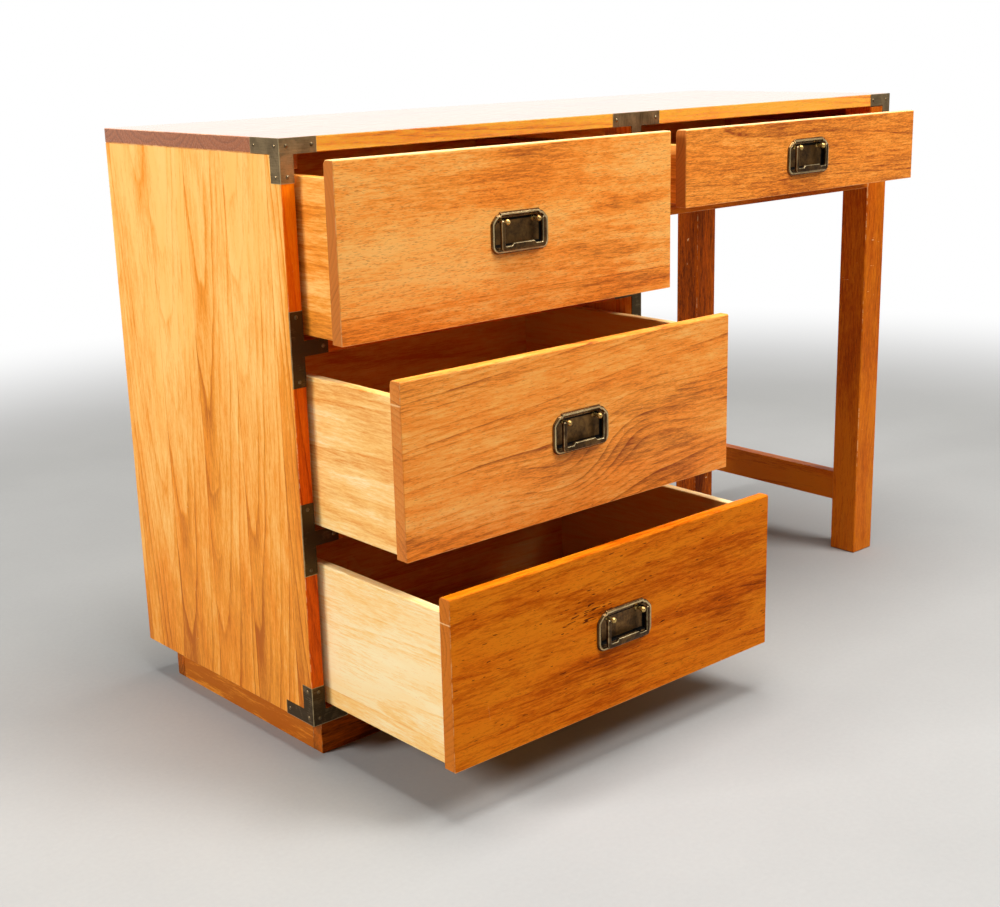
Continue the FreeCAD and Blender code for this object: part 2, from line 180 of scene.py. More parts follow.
class Wires:
    """Short ways to add and join the nodes of one shader tree."""

    def __init__(self, tree):
        self.tree = tree

    def add(self, kind, **settings):
        node = self.tree.nodes.new("ShaderNode" + kind)
        for key, value in settings.items():
            setattr(node, key, value)
        return node

    def feed(self, socket, value):
        if isinstance(value, Signal):
            self.tree.links.new(value.socket, socket)
        elif isinstance(value, (tuple, list, Vector)) and socket.type == "RGBA":
            socket.default_value = (*tuple(value)[:3], 1.0)
        else:
            socket.default_value = value

    def fill(self, sockets, **values):
        """Feed sockets by name, with _ for each space in it."""
        for key, value in values.items():
            self.feed(sockets[key.replace("_", " ")], value)

    def wired(self, node, **values):
        """A node's outputs by name, once its inputs are fed by name."""
        self.fill(node.inputs, **values)
        return {socket.name: Signal(self, socket) for socket in node.outputs}

    def through(self, node, *values):
        """A node's first output, once its first inputs are fed in order."""
        for socket, value in zip(node.inputs, values):
            self.feed(socket, value)
        return Signal(self, node.outputs[0])

    def math(self, operation, *values, clamp=False):
        return self.through(self.add("Math", operation=operation, use_clamp=clamp), *values)

    def vector(self, operation, a, b=None):
        node = self.add("VectorMath", operation=operation)
        self.feed(node.inputs[0], a)
        if b is not None:
            self.feed(node.inputs["Scale" if operation == "SCALE" else 1], b)
        return Signal(self, node.outputs["Value" if operation in ("LENGTH", "DOT_PRODUCT") else "Vector"])

    def mix(self, factor, a, b, blend="MIX"):
        node = self.add("Mix", data_type="RGBA", blend_type=blend, clamp_factor=True)
        for index, value in ((0, factor), (6, a), (7, b)):
            self.feed(node.inputs[index], value)
        return Signal(self, node.outputs[2])

    def blend_values(self, factor, a, b):
        node = self.add("Mix", data_type="FLOAT", clamp_factor=True)
        for index, value in ((0, factor), (2, a), (3, b)):
            self.feed(node.inputs[index], value)
        return Signal(self, node.outputs[0])

    def span(self, value, low, high, to_low=0.0, to_high=1.0, smooth=True):
        node = self.add("MapRange", interpolation_type="SMOOTHSTEP" if smooth else "LINEAR")
        return self.through(node, value, low, high, to_low, to_high)

    def noise(self, place, scale, detail, rough=0.5, distortion=0.0, output="Fac"):
        """Noise over a place, which is stretched where scale has a value for each axis."""
        if not isinstance(scale, float):
            place, scale = self.vector("MULTIPLY", place, scale), 1.0
        node = self.add("TexNoise")
        return self.wired(
            node, Vector=place, Scale=scale, Detail=detail, Roughness=rough, Distortion=distortion
        )[output]

    def draw(self, number):
        """A random Value and Color for each number."""
        return self.wired(self.add("TexWhiteNoise", noise_dimensions="1D"), W=number)

    def apart(self, vector):
        node = self.add("SeparateXYZ")
        self.feed(node.inputs[0], vector)
        return [Signal(self, socket) for socket in node.outputs]

    def group(self, name, **inputs):
        return self.wired(self.add("Group", node_tree=bpy.data.node_groups[name]), **inputs)

    def bump(self, height, strength, distance):
        return self.wired(self.add("Bump"), Height=height, Strength=strength, Distance=distance)["Normal"]


def start_group(name, inputs, outputs, vectors=()):
    """A new shader node group: inputs without a default and outputs listed in vectors are vectors."""
    tree = bpy.data.node_groups.new(name, "ShaderNodeTree")
    for label, default in inputs.items():
        kind = "NodeSocketVector" if default is None else "NodeSocketFloat"
        socket = tree.interface.new_socket(name=label, in_out="INPUT", socket_type=kind)
        if default is not None:
            socket.default_value = default
    for label in outputs:
        kind = "NodeSocketVector" if label in vectors else "NodeSocketFloat"
        tree.interface.new_socket(name=label, in_out="OUTPUT", socket_type=kind)
    wires = Wires(tree)
    return wires, wires.wired(tree.nodes.new("NodeGroupInput")), tree.nodes.new("NodeGroupOutput").inputs


def build_growth_rings():
    """Growth rings about the Z axis, seen where a board cuts them; Bump pushes them out around a knot."""
    w, given, out = start_group(
        "Growth rings",
        {
            "Vector": None,
            "Ring Width": 6.0 * MM,
            "Wander": 0.03,
            "Taper": 0.05,
            "Ripple": 0.3,
            "Sharpness": 2.2,
            "Patchy": 0.5,
            "Bump": 0.0,
        },
        ("Late Wood", "Ring Tone"),
    )
    place = given["Vector"]
    bend = w.noise(place, (4.5, 4.5, 1.7), 1.0, 0.45, output="Color")
    bend = w.vector("SUBTRACT", bend, (0.5, 0.5, 0.5))
    x, y, z = w.apart(w.vector("ADD", place, w.vector("SCALE", bend, given["Wander"])))
    radius = w.math("SQRT", x * x + y * y) + z * given["Taper"]
    ripple = (w.noise(place, (34.0, 34.0, 10.0), 2.0) - 0.5) * given["Ripple"]
    count = radius / given["Ring Width"] + ripple + given["Bump"]
    part = w.math("FRACT", count)
    rise = w.math("POWER", part, given["Sharpness"])
    fall = w.span(part, 0.90, 1.0, 1.0, 0.0)
    tone = w.draw(w.math("FLOOR", count))["Value"]
    patch = w.span(w.noise(place, (13.0, 13.0, 4.5), 1.0), 0.36, 0.62)
    kept = w.blend_values(given["Patchy"], 1.0, patch)
    strength = w.span(tone, 0.0, 1.0, 0.2, 1.0, smooth=False) * kept
    w.fill(out, Late_Wood=rise * fall * strength, Ring_Tone=tone)


def build_swirl():
    """A soft bump round one point of the wood, longer along the grain."""
    w, given, out = start_group("Swirl", {"Vector": None, "Centre": None, "Size": 0.03}, ("Bump",))
    away = w.vector("SUBTRACT", given["Vector"], given["Centre"])
    reach = w.vector("LENGTH", w.vector("MULTIPLY", away, (1.0, 1.0, 0.55))) / given["Size"]
    w.fill(out, Bump=w.math("EXPONENT", reach * reach * -1.0))


def build_staves():
    """Edge-glued staves: Shift centres each one's heart; Tone and Joint shade each one and its edges."""
    w, given, out = start_group(
        "Staves",
        {"Across": 0.0, "Stave Width": 0.1, "Seed": 0.0},
        ("Shift", "Tone", "Joint"),
        vectors=("Shift",),
    )
    width = given["Stave Width"]
    count = given["Across"] / width
    stave = w.math("FLOOR", count)
    draw = w.draw(stave + given["Seed"])
    through, across, along = w.apart(w.vector("SUBTRACT", draw["Color"], (0.5, 0.5, 0.5)))
    aside = across * (width * 0.8) - (stave + 0.5) * width
    part = w.math("FRACT", count)
    gap = w.math("MINIMUM", part, 1.0 - part) * width
    w.fill(
        out,
        Shift=w.through(w.add("CombineXYZ"), through * 0.03, aside, along * 1.4),
        Tone=draw["Value"],
        Joint=w.span(gap, 0.2 * MM, 0.7 * MM, 1.0, 0.0),
    )


def build_streaks_and_pores():
    """Long colour streaks and short open pores along the Z axis."""
    w, given, out = start_group(
        "Streaks and pores",
        {"Vector": None, "Streak Size": 1.0, "Pore Amount": 0.5},
        ("Streak", "Fine", "Grit", "Pores", "Cloud", "Warmth"),
    )
    place = given["Vector"]
    wide = w.noise(w.vector("SCALE", place, given["Streak Size"]), (46.0, 46.0, 4.5), 3.0, 0.55, 0.2)
    fine = w.noise(place, (380.0, 380.0, 34.0), 3.0, 0.65, 0.1)
    warm = w.noise(place, (28.0, 28.0, 5.0), 3.0, 0.6, 0.4)
    grit = w.noise(place, (1100.0, 1100.0, 130.0), 2.0, 0.7)
    cloud = w.noise(place, (8.0, 8.0, 3.0), 3.0, 0.55, 0.6)
    ticks = w.noise(place, (1300.0, 1300.0, 150.0), 1.0)
    clusters = w.noise(place, (60.0, 60.0, 12.0), 2.0)
    low = 0.82 - given["Pore Amount"] * 0.16 - clusters * 0.12
    w.fill(
        out,
        Streak=w.span(wide, 0.3, 0.72),
        Fine=w.span(fine, 0.3, 0.7),
        Grit=w.span(grit, 0.3, 0.7),
        Pores=w.span(ticks, low, low + 0.08),
        Cloud=w.span(cloud, 0.3, 0.7),
        Warmth=w.span(warm, 0.35, 0.65),
    )


def build_worn_edges():
    """Mask along the edges of a board, from its lowest and highest corners."""
    w, given, out = start_group(
        "Worn edges",
        {"Vector": None, "Low Corner": None, "High Corner": None, "Width": 1.5 * MM, "Raggedness": 0.6},
        ("Mask",),
    )
    place = given["Vector"]
    from_low = w.vector("ABSOLUTE", w.vector("SUBTRACT", place, given["Low Corner"]))
    from_high = w.vector("ABSOLUTE", w.vector("SUBTRACT", given["High Corner"], place))
    x, y, z = w.apart(w.vector("MINIMUM", from_low, from_high))
    most = w.math("MAXIMUM", w.math("MAXIMUM", x, y), z)
    least = w.math("MINIMUM", w.math("MINIMUM", x, y), z)
    second = x + y + z - most - least
    chips = w.span(w.noise(place, 95.0, 3.0, 0.65), 0.3, 0.75)
    wear = chips * w.span(w.noise(place, 9.0, 2.0), 0.3, 0.7)
    reach = given["Width"] * w.blend_values(given["Raggedness"], 1.0, wear * 2.6)
    w.fill(out, Mask=w.span(second, reach * 0.5, reach, 1.0, 0.0))


def build_end_grain():
    """Mask of the faces that look along a board's grain."""
    w, given, out = start_group("End grain", {"Normal": None, "Grain Axis": None}, ("Mask",))
    along = abs(w.vector("DOT_PRODUCT", given["Normal"], given["Grain Axis"]))
    w.fill(out, Mask=w.span(along, 0.55, 0.85))


def build_knocks():
    """Small pale nicks and short scratches from years of use."""
    w, given, out = start_group("Knocks", {"Vector": None, "Amount": 0.5}, ("Mask",))
    place = given["Vector"]
    where = w.noise(place, 6.0, 1.0)
    nicks = w.span(w.noise(place, 120.0, 2.0, 0.6, 0.8), 0.74, 0.78) * w.span(where, 0.5, 0.62)
    line = w.noise(place, (40.0, 40.0, 260.0), 1.0, 0.4, 1.2)
    lines = w.span(line, 0.775, 0.79) * w.span(where, 0.42, 0.3)
    both = w.math("MAXIMUM", nicks, lines)
    w.fill(out, Mask=w.math("MULTIPLY", both, given["Amount"], clamp=True))


def build_tarnish():
    """Brushed, unevenly darkened brass."""
    w, given, out = start_group(
        "Tarnish", {"Vector": None, "Brush Scales": None}, ("Dark", "Brushed", "Specks")
    )
    place = given["Vector"]
    w.fill(
        out,
        Dark=w.span(w.noise(place, 42.0, 4.0, 0.6, 0.4), 0.32, 0.68),
        Brushed=w.span(w.noise(place, given["Brush Scales"], 3.0, 0.6), 0.3, 0.7),
        Specks=w.span(w.noise(place, 900.0, 1.0), 0.64, 0.72),
    )


def start_material(name):
    material = bpy.data.materials.new(name)
    material.use_nodes = True
    material.node_tree.nodes.clear()
    w = Wires(material.node_tree)
    shader = w.add("BsdfPrincipled")
    w.wired(w.add("OutputMaterial"), Surface=w.through(shader))
    return material, w, shader


GRAIN_TURN = {"X": (0, math.radians(90), 0), "Y": (math.radians(90), 0, 0), "Z": (0, 0, 0)}
GRAIN_AXIS = {"X": (1, 0, 0), "Y": (0, 1, 0), "Z": (0, 0, 1)}


def along_grain(point, grain):
    """A point as the grain sees it: across, across, along."""
    x, y, z = point
    return Vector({"X": (z, y, -x), "Y": (x, -z, y), "Z": (x, y, z)}[grain])


@dataclasses.dataclass
class Board:
    """How one board looks. Places are as the grain sees them, from the board's middle.

    heart is where the tree's centre lies, swirls and stains are (place, size, strength), pits is
    (place, size), band is (height, tone) of a strip along the lower edge and tints are (direction, tint).
    Some tints are painted shade on the faces turned that way. fade paints shade on the lower part of
    the board, and the upward faces can take a painted highlight.
    """

    grain: str
    tones: str
    heart: tuple = (0.0, 0.08)
    shift: float = 0.0
    ring: float = 6.0 * MM
    wander: float = 0.03
    taper: float = 0.05
    ripple: float = 0.6
    warm: float = 0.5
    swirls: tuple = ()
    staves: float = 0.0
    stave_from: float = 0.0
    late: float = 0.45
    streak: float = 0.5
    cloud: float = 0.35
    fine: float = 0.4
    grit: float = 0.2
    sharp: float = 2.2
    patchy: float = 0.5
    stains: tuple = ()
    pits: tuple = ()
    band: tuple = ()
    streak_size: float = 1.0
    pores: float = 0.5
    base: float = 0.0
    edge: float = 0.8 * MM
    edge_show: float = 0.3
    knocks: float = 0.3
    end: float = 0.85
    end_tint: str = "end_brown"
    gloss: float = 0.42
    shine: float = 0.2
    coat: float = 0.0
    fade: float = 0.0
    top_highlight: float = 0.0
    tints: tuple = ()
    scuff_z: float = 0.0


def wood_tone(w, board, place, staves):
    """How dark the wood is from place to place, with its late wood and pores."""
    heart = Vector((*board.heart, -board.shift))

    def near(offset, size):
        return w.group("Swirl", Vector=place, Centre=Vector(offset) - heart, Size=size)["Bump"]

    pushed = 0.0
    knots = 0.0
    for offset, size, strength in board.swirls:
        swirl = near(offset, size)
        pushed = swirl * strength + pushed
        knots = w.span(swirl, 0.8, 1.0) * (0.5 if size < 20 * MM else 0.0) + knots
    rings = w.group(
        "Growth rings",
        Vector=place,
        Ring_Width=board.ring,
        Wander=board.wander,
        Taper=board.taper,
        Ripple=board.ripple,
        Sharpness=board.sharp,
        Patchy=board.patchy,
        Bump=pushed,
    )
    marks = w.group(
        "Streaks and pores", Vector=place, Streak_Size=board.streak_size, Pore_Amount=board.pores
    )
    tone = rings["Late Wood"] * board.late + (0.4 - 0.2 * board.late + board.base)
    parts = [
        (marks["Streak"], board.streak),
        (marks["Cloud"], board.cloud),
        (marks["Fine"], board.fine),
        (marks["Grit"], board.grit),
        (rings["Ring Tone"], 0.12),
    ]
    if staves:
        parts.append((staves["Tone"], 0.16))
        tone = staves["Joint"] * 0.35 + tone
    for part, amount in parts:
        tone = (part - 0.5) * amount + tone
    tone = tone + knots
    for offset, size, amount in board.stains:
        tone = near(offset, size) * amount * marks["Streak"] + tone
    if board.pits:
        holes = w.noise(place, (520.0, 520.0, 95.0), 0.0)
        cut = 0.82 - near(*board.pits) * 0.15
        tone = tone + w.span(holes, cut, cut + 0.03, 0.0, 1.5)
    return tone, rings["Late Wood"], marks


def corners_of(node):
    """Lowest and highest corner of a CAD node."""
    return [Vector(corner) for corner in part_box(node)]


def board_material(node, board):
    """Stained or bare wood for one board."""
    wood = bpy.context.scene.desk.wood
    pale, main_tone, dark = (
        tuple(getattr(wood, f"{board.tones}_{part}")) for part in ("pale", "main", "dark")
    )
    low, high = corners_of(node)
    material, w, shader = start_material("Wood_" + node)
    coords = w.wired(w.add("TexCoord"))
    spot, normal = coords["Object"], coords["Normal"]
    across, height = w.apart(spot)[1:]
    centre = along_grain((low + high) / 2, board.grain)
    location = (
        -centre.x - board.heart[0],
        -board.stave_from if board.staves else -centre.y - board.heart[1],
        board.shift - centre.z,
    )
    turn = w.add("Mapping")
    place = w.wired(turn, Vector=spot, Rotation=GRAIN_TURN[board.grain], Location=location)["Vector"]
    if board.band:
        band_height, band_tone = board.band
        above = height - (low.z + band_height)
        below = w.math("LESS_THAN", above, 0.0)
        seam = w.span(abs(above), 0.3 * MM, 1.2 * MM, 0.2, 0.0)
        place = w.vector("ADD", place, w.vector("SCALE", (0.03, 0.02, 0.6), below))
    staves = None
    if board.staves:
        staves = w.group(
            "Staves", Across=across - board.stave_from, Stave_Width=board.staves, Seed=7.31 * board.shift
        )
        place = w.vector("ADD", place, staves["Shift"])
    tone, late_wood, marks = wood_tone(w, board, place, staves)
    if board.band:
        tone = below * band_tone + seam + tone
    # Painted shade: the lower part of the board is darkened, standing for the light's falloff.
    if board.fade:
        start = low.z + 0.7 * (high.z - low.z)
        tone = w.span(height, start, low.z, smooth=False) * board.fade + tone
    ramp = w.add("ValToRGB")
    stops = ramp.color_ramp.elements
    stops[0].color = (*pale, 1)
    stops[1].color = (*dark, 1)
    stops.new(0.45).color = (*main_tone, 1)
    pore_brown = (dark[0] * 0.9, dark[1] * 0.4, dark[2] * 0.5)
    colour = w.mix(marks["Pores"] * 0.4, w.through(ramp, tone), pore_brown)
    warmer = w.mix(1.0, colour, (1.0, 0.8, 0.5), "MULTIPLY")
    colour = w.mix(marks["Warmth"] * board.warm, colour, warmer)
    for direction, tint in board.tints:
        toward = w.vector("DOT_PRODUCT", normal, direction)
        tinted = w.mix(1.0, colour, tuple(getattr(wood, tint)), "MULTIPLY")
        colour = w.mix(w.span(toward, 0.4, 0.8), colour, tinted)
    ends = w.group("End grain", Normal=normal, Grain_Axis=GRAIN_AXIS[board.grain])["Mask"]
    soaked = tuple(getattr(wood, board.end_tint))
    end_colour = w.mix(late_wood, soaked, tuple(c * 0.45 for c in soaked))
    colour = w.mix(ends * board.end, colour, end_colour)
    worn = w.group("Worn edges", Vector=spot, Low_Corner=low, High_Corner=high, Width=board.edge)["Mask"]
    knocks = w.group("Knocks", Vector=place, Amount=board.knocks)["Mask"]
    scuffs_and_highlights = w.math("MAXIMUM", worn * board.edge_show, knocks)
    # Painted highlight: the upward faces take the pale colour of scuffed wood.
    if board.top_highlight:
        upward = w.span(w.apart(normal)[2], 0.45, 0.9)
        scuffs_and_highlights = w.math("MAXIMUM", scuffs_and_highlights, upward * board.top_highlight)
    if board.scuff_z:
        off = abs(height - (high.z - board.scuff_z))
        line = w.span(off, 0.2 * MM, w.noise(spot, 260.0, 1.0) * (2.6 * MM), 1.0, 0.0)
        scuffs_and_highlights = w.math("MAXIMUM", scuffs_and_highlights, line * (ends * 0.6))
    rough = marks["Fine"] * 0.1 + (board.gloss - 0.05)
    open_pores = marks["Pores"] * (ends - 1.0)
    w.fill(
        shader.inputs,
        Base_Color=w.mix(scuffs_and_highlights, colour, tuple(wood.scuff_and_highlight)),
        Roughness=w.math("MULTIPLY_ADD", scuffs_and_highlights, 0.3, rough, clamp=True),
        Normal=w.bump(late_wood * 0.05 + open_pores * 0.12, 0.3, 0.2 * MM),
        Specular_IOR_Level=board.shine,
        Coat_Weight=board.coat,
        Coat_Roughness=0.12,
        IOR=1.48,
    )
    return material


def dress(node, material):
    """The CAD node takes one material."""
    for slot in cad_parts[node].material_slots:
        slot.material = material


def finish_board(node, *args, **look):
    dress(node, board_material(node, Board(*args, **look)))


EVEN = (60.0, 60.0, 60.0)
BRUSHED_UP = (60.0, 60.0, 900.0)
BRUSHED_ALONG = (900.0, 60.0, 60.0)
FINE = (300.0, 300.0, 300.0)


def brass_material(name, brush, tarnish_and_shade, box=None, tones=("body", "tarnish"), rough=0.3):
    """Dull brass between two tones, darker for tarnish and, on some brackets, for painted shade; box gives
    the corners of a plate with rubbed edges.
    """
    brass = bpy.context.scene.desk.brass
    material, w, shader = start_material(name)
    place = w.wired(w.add("TexCoord"))["Object"]
    film = w.group("Tarnish", Vector=place, Brush_Scales=brush)
    dark = film["Dark"] * 0.5 + (tarnish_and_shade - 0.25)
    dark = w.math("MULTIPLY_ADD", film["Brushed"], 0.25, dark, clamp=True)
    light_tone, dark_tone = (tuple(getattr(brass, tone)) for tone in tones)
    colour = w.mix(dark, light_tone, dark_tone)
    colour = w.mix(film["Specks"] * 0.35, colour, tuple(c * 0.4 for c in dark_tone))
    if box:
        low, high = box
        worn = w.group(
            "Worn edges", Vector=place, Low_Corner=low, High_Corner=high, Width=1.0 * MM, Raggedness=0.45
        )
        colour = w.mix(worn["Mask"] * 0.5, colour, tuple(brass.rubbed_and_highlit))
    w.fill(
        shader.inputs,
        Metallic=0.8,
        Base_Color=colour,
        Roughness=w.math("MULTIPLY_ADD", dark, 0.1, film["Brushed"] * 0.12 + rough, clamp=True),
        Normal=w.bump(film["Brushed"], 0.12, 0.1 * MM),
    )
    return material


# New pieces


def add_object(name, data):
    item = bpy.data.objects.new(name, data)
    bpy.context.scene.collection.objects.link(item)
    return item


def add_mesh(name, bm, material):
    """An object from a bmesh, which is freed."""
    mesh = bpy.data.meshes.new(name)
    bm.to_mesh(mesh)
    bm.free()
    mesh.materials.append(material)
    return add_object(name, mesh)


def new_piece(name, bm, material, body, smooth=None):
    """An object from a bmesh, riding on a body, with faces under the smooth angle shaded smoothly."""
    bmesh.ops.recalc_face_normals(bm, faces=bm.faces)
    if smooth is not None:
        for face in bm.faces:
            face.smooth = True
        for edge in bm.edges:
            edge.smooth = len(edge.link_faces) == 2 and edge.calc_face_angle(0) < smooth
    piece = add_mesh(name, bm, material)
    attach(piece, body)
    return piece


def lathe(profile, place, direction, steps):
    """A closed turned form as a bmesh, with its profile's axis laid along direction at place."""
    bm = bmesh.new()
    made = [bm.verts.new((radius, 0, along)) for radius, along in profile]
    edges = [bm.edges.new(pair) for pair in zip(made, made[1:])]
    bmesh.ops.spin(
        bm, geom=made + edges, cent=(0, 0, 0), axis=UP, angle=math.tau, steps=steps, use_merge=True
    )
    bmesh.ops.remove_doubles(bm, verts=bm.verts, dist=1e-6)
    bmesh.ops.dissolve_degenerate(bm, edges=bm.edges, dist=1e-7)
    spot = Vector(direction).to_track_quat("Z", "Y").to_matrix().to_4x4()
    bmesh.ops.transform(bm, matrix=Matrix.Translation(place) @ spot, verts=bm.verts)
    return bm


def joined(parts):
    """One bmesh holding all the given ones, which are freed."""
    whole = bmesh.new()
    for part in parts:
        holder = bpy.data.meshes.new("part")
        part.to_mesh(holder)
        part.free()
        whole.from_mesh(holder)
        bpy.data.meshes.remove(holder)
    return whole


def rounded_loop(corners, inset, steps=6):
    """Points round an outline drawn in by inset; corners are (x, z, radius), anticlockwise."""
    spots = [Vector(corner[:2]) for corner in corners]
    runs = [(b - a).normalized() for a, b in zip(spots, spots[1:] + spots[:1])]
    inward = [Vector((-run.y, run.x)) for run in runs]
    moved = []
    for k, spot in enumerate(spots):
        before, after = inward[k - 1], inward[k]
        moved.append(spot + (before + after) * (inset / (1 + before.dot(after))))
    lengths = [(b - a).length for a, b in zip(moved, moved[1:] + moved[:1])]
    points = []
    for k, spot in enumerate(moved):
        turn = runs[k - 1].angle(runs[k])
        outward = runs[k - 1].cross(runs[k]) > 0
        radius = max(corners[k][2] - inset, 0.3 * MM) if outward else corners[k][2] + inset
        reach = min(radius * math.tan(turn / 2), 0.48 * min(lengths[k - 1], lengths[k]))
        start, end = spot - runs[k - 1] * reach, spot + runs[k] * reach
        pull = math.cos(turn / 2)
        for step in range(steps + 1):
            t = step / steps
            parts = ((1 - t) ** 2, 2 * pull * t * (1 - t), t * t)
            points.append((start * parts[0] + spot * parts[1] + end * parts[2]) / sum(parts))
    return points


def stacked(corners, layers, slots):
    """A closed form from one outline at several (inset, y), with the material slot of each band between."""
    bm = bmesh.new()
    rings = []
    for inset, y in layers:
        verts = [bm.verts.new((p.x, y, p.y)) for p in rounded_loop(corners, inset)]
        rings.append([bm.edges.new(pair) for pair in zip(verts, verts[1:] + verts[:1])])
    for near, far, slot in zip(rings, rings[1:], slots):
        made = bmesh.ops.bridge_loops(bm, edges=near + far)
        for face in made["faces"]:
            face.material_index = slot
    for ring in (rings[0], rings[-1]):
        for face in bmesh.ops.contextual_create(bm, geom=ring)["faces"]:
            face.material_index = 0
    return bm


def both_sides(half):
    """Outline corners from their right-hand half, which runs anticlockwise."""
    return list(half) + [(-x, z, radius) for x, z, radius in reversed(half)]


def nail_spots():
    """Where the bracket nails sit and which way their heads face, from the brackets' own boxes."""
    half = 9 * MM  # half the width of a bracket's leg
    inset = 7 * MM  # from the end of a leg to its nail
    in_stile = 0.5 * MM + half
    bar_nail = 44.5 * MM - inset
    leg_nail = 51 * MM - inset
    spots = []

    def drive(x, y, z, direction):
        spots.append((Vector((x, y, z)), Vector(direction)))

    for level in ("top", "bottom"):
        low, high = corners_of(f"corner_{level}_left")
        far = corners_of(f"corner_{level}_right")[1].x
        z_mid, z_end = high.z - half, low.z + inset
        if level == "bottom":
            z_mid, z_end = low.z + half, high.z - inset
        for x, z in ((in_stile, z_mid), (high.x - low.x - inset, z_mid), (in_stile, z_end)):
            drive(low.x + x, low.y, z, FRONT)
            drive(far - x, low.y, z, FRONT)
        for y, z in ((low.y + in_stile, z_mid), (high.y - inset, z_mid), (low.y + in_stile, z_end)):
            drive(low.x, y, z, (-1, 0, 0))
            drive(far, y, z, (1, 0, 0))
    low, high = corners_of("tee_top")
    for x in (low.x + inset, high.x - inset):
        drive(x, low.y, high.z - half, FRONT)
    drive((low.x + high.x) / 2, low.y, low.z + inset, FRONT)
    low, high = corners_of("rail_tees")
    for rail in ("rail_lower", "rail_upper"):
        z = sum(corner.z for corner in corners_of(rail)) / 2
        for dx, dz in ((half, bar_nail), (half, -bar_nail), (leg_nail, 0)):
            drive(low.x + dx, low.y, z + dz, FRONT)
            drive(high.x - dx, low.y, z + dz, FRONT)
    return spots


def nail_head(radius, rise, place, direction):
    """A low dome: five rings of a sphere's cap, closed below."""
    sphere = (radius**2 + rise**2) / (2 * rise)
    reach = math.asin(radius / sphere)
    turns = [reach * k / 4 for k in range(5)]
    cap = [(sphere * math.sin(turn), sphere * (math.cos(turn) - math.cos(reach))) for turn in turns]
    return lathe(cap + [(radius, -0.1 * MM), (0, -0.1 * MM)], place, direction, steps=16)


def plate_half(half, tall):
    """Right-hand half of the plate's outline: its corners are cut slantwise below a raised middle."""
    return (
        (half, -tall, 10.8 * MM),
        (half, tall - 12.0 * MM, 9 * MM),
        (half - 9.0 * MM, tall - 3.2 * MM, 6 * MM),
        (half - 12.5 * MM, tall - 2.6 * MM, 1 * MM),
        (half - 14.5 * MM, tall, 2 * MM),
    )


def plate_layers(proud, floor, back):
    """Insets and depths from the drawer's face: the pan, its wall, a low ledge, the bead and the back."""
    pan = [(11.0, floor), (8.4, floor - 0.3 * MM), (7.8, floor - 1.5 * MM), (7.6, 0.3 * MM)]
    ledge = [(7.2, -0.3 * MM), (6.5, -0.5 * MM), (5.8, -0.4 * MM), (5.4, -0.6 * MM)]
    turns = [math.pi * k / 8 for k in range(7, -1, -1)]
    bead = [(2.7 - 2.7 * math.cos(turn), proud * math.sin(turn)) for turn in turns]
    behind = [(4.2, 0.1 * MM), (4.6, back)]
    return [(inset * MM, y) for inset, y in pan + ledge + bead + behind]


# Slot 2, the pan's wall and the floor at its foot, is painted shade; slot 3, the bead's crest, is worn brass
# with a painted highlight.
PLATE_SLOTS = [2] * 3 + [1] * 7 + [3] * 2 + [1] * 3 + [0] * 2


def recess_corner(side, middle, depth):
    """Wood in an upper corner of the recess in a drawer's front, where the plate's own corner is cut away."""
    half, tall = 42.5 * MM, 21.5 * MM
    leg = 11.3 * MM
    bm = bmesh.new()
    outline = ((half, tall), (half, tall - leg), (half - leg, tall))
    spots = [(middle.x + side * x, middle.z + z) for x, z in outline]
    caps = [[bm.verts.new((x, middle.y + y, z)) for x, z in spots] for y in (0, depth)]
    for cap in caps:
        bm.faces.new(cap)
    for k in range(3):
        bm.faces.new((caps[0][k - 1], caps[0][k], caps[1][k], caps[1][k - 1]))
    return bm


def cast_plate(drawer, face_y, finishes):
    """A pull's plate, with wood in the upper corners of its recess; gives the middle of the plate's face."""
    node = drawer + "_pull_plate"
    low, high = corners_of(node)
    middle = Vector(((low.x + high.x) / 2, face_y, (low.z + high.z) / 2))
    back = high.y - face_y
    outline = both_sides(plate_half((high.x - low.x) / 2, (high.z - low.z) / 2))
    plate = stacked(outline, plate_layers(low.y - face_y, back - 1.5 * MM, back), PLATE_SLOTS)
    bmesh.ops.translate(plate, vec=middle, verts=plate.verts)
    dark = brass_material("Brass_" + node, FINE, 0.5, tones=("bronze", "umber"), rough=0.26)
    piece = new_piece(drawer + "_cast_plate", plate, dark, drawer, SMOOTH)
    for finish in finishes:
        piece.data.materials.append(finish)
    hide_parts(node)
    corners = joined([recess_corner(side, middle, back) for side in (-1, 1)])
    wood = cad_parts[drawer + "_front"].material_slots[0].material
    new_piece(drawer + "_recess_corners", corners, wood, drawer)
    return middle


def bail_half(half, low, high):
    """Right-hand half of the bail's outline: an arm with a round end, and the bar with its raised lip."""
    arm = 5 * MM
    bar = low + 6 * MM
    lip = 16.5 * MM
    rise = 3 * MM
    return (
        (half, low, 4 * MM),
        (half, high, 2.4 * MM),
        (half - arm, high, 2.4 * MM),
        (half - arm, bar, 1.5 * MM),
        (lip + rise, bar, 1 * MM),
        (lip, bar + rise, 1 * MM),
    )


def bail_layers(front, back):
    """Insets and depths of the bail, with its edges rounded."""
    ahead = ((1.3, front), (0.8, front + 0.12 * MM), (0.3, front + 0.5 * MM), (0.0, front + 1.2 * MM))
    return [(inset * MM, y) for inset, y in (*ahead, (0.0, back - 0.6 * MM), (0.6, back))]


